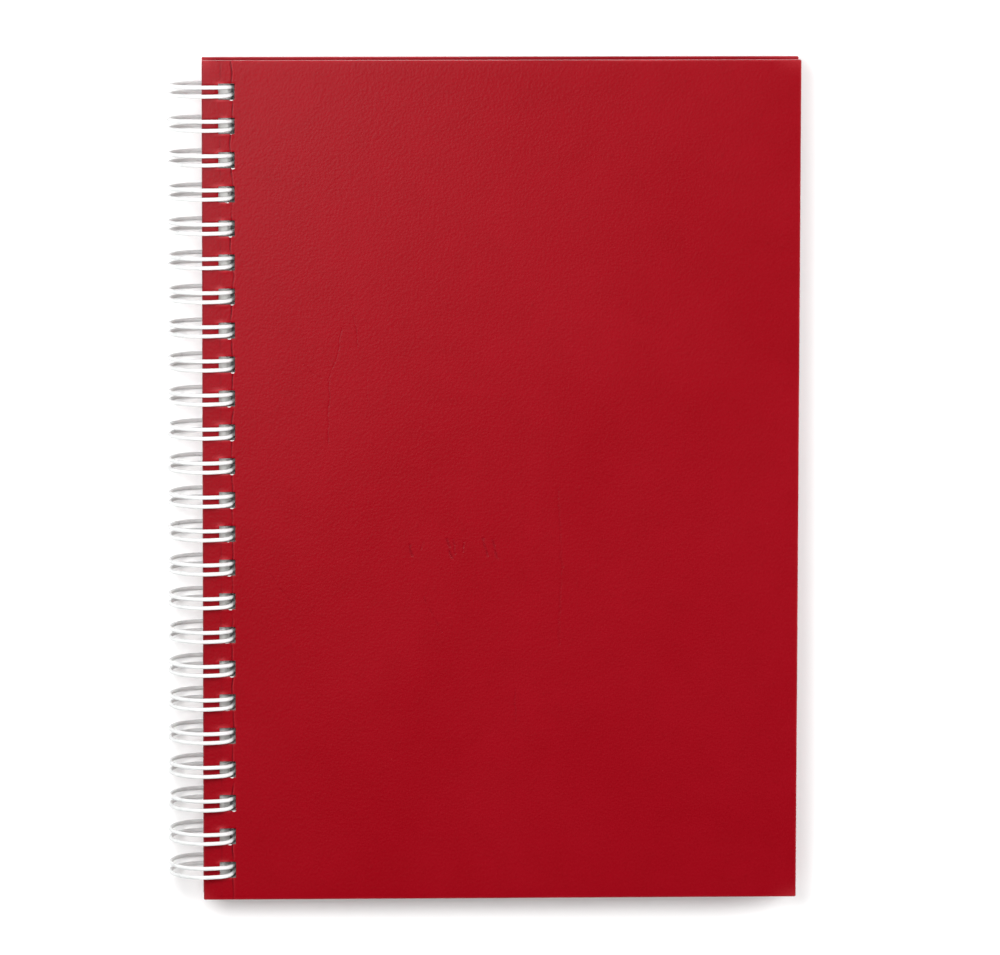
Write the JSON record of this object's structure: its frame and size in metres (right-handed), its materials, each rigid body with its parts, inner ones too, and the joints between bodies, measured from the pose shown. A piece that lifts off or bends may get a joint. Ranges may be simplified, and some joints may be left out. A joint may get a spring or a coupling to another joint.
{
  "type": "wire-bound hardcover sketchbook",
  "caption": "Hardcover sketchbook, upright, bound along its left edge with white twin-loop wire; plain red laminated covers over boards, loose punched sheets inside.",
  "frame": {"origin": "bottom centre of the closed book's bounding box, on the surface that the wire rings stand on", "axes": "+Y towards the head of the book, along the spine; +X from the spine to the fore-edge; +Z out of the front cover"},
  "size_m": [0.1566, 0.21, 0.0172],
  "materials": {
    "cover_wrap": "deep red printed paper with a satin laminate",
    "cover_board": "raw grey board",
    "cover_liner": "matt off-white endpaper",
    "sketch_paper": "matt lightly toothed drawing paper",
    "coated_wire": "steel wire in a smooth white nylon coat"
  },
  "bodies": {
    "wire": {"binding_wire": "coated_wire"},
    "back_cover": {"back_wrap": "cover_wrap", "back_board": "cover_board", "back_liner": "cover_liner"},
    "rear_leaves": {"sheet_21": "sketch_paper", "sheet_22": "sketch_paper", "sheet_23": "sketch_paper", "sheet_24": "sketch_paper", "sheet_25": "sketch_paper", "sheet_26": "sketch_paper", "sheet_27": "sketch_paper", "sheet_28": "sketch_paper", "sheet_29": "sketch_paper", "sheet_30": "sketch_paper", "sheet_31": "sketch_paper", "sheet_32": "sketch_paper", "sheet_33": "sketch_paper", "sheet_34": "sketch_paper", "sheet_35": "sketch_paper", "sheet_36": "sketch_paper", "sheet_37": "sketch_paper", "sheet_38": "sketch_paper", "sheet_39": "sketch_paper", "sheet_40": "sketch_paper"},
    "front_leaves": {"sheet_01": "sketch_paper", "sheet_02": "sketch_paper", "sheet_03": "sketch_paper", "sheet_04": "sketch_paper", "sheet_05": "sketch_paper", "sheet_06": "sketch_paper", "sheet_07": "sketch_paper", "sheet_08": "sketch_paper", "sheet_09": "sketch_paper", "sheet_10": "sketch_paper", "sheet_11": "sketch_paper", "sheet_12": "sketch_paper", "sheet_13": "sketch_paper", "sheet_14": "sketch_paper", "sheet_15": "sketch_paper", "sheet_16": "sketch_paper", "sheet_17": "sketch_paper", "sheet_18": "sketch_paper", "sheet_19": "sketch_paper", "sheet_20": "sketch_paper"},
    "front_cover": {"front_wrap": "cover_wrap", "front_board": "cover_board", "front_liner": "cover_liner"}
  },
  "joints": [
    {"name": "back_cover_turn", "type": "hinge", "parent": "wire", "child": "back_cover", "pos_m": [-0.06972, 0, 0.00861], "axis": [0, 1, 0], "range_deg": [0, 180]},
    {"name": "rear_leaves_turn", "type": "hinge", "parent": "wire", "child": "rear_leaves", "pos_m": [-0.06972, 0, 0.00861], "axis": [0, -1, 0], "range_deg": [0, 180]},
    {"name": "front_leaves_turn", "type": "hinge", "parent": "rear_leaves", "child": "front_leaves", "pos_m": [-0.06972, 0, 0.00861], "axis": [0, -1, 0], "range_deg": [0, 180]},
    {"name": "front_cover_turn", "type": "hinge", "parent": "front_leaves", "child": "front_cover", "pos_m": [-0.06972, 0, 0.00861], "axis": [0, -1, 0], "range_deg": [0, 180]}
  ]
}
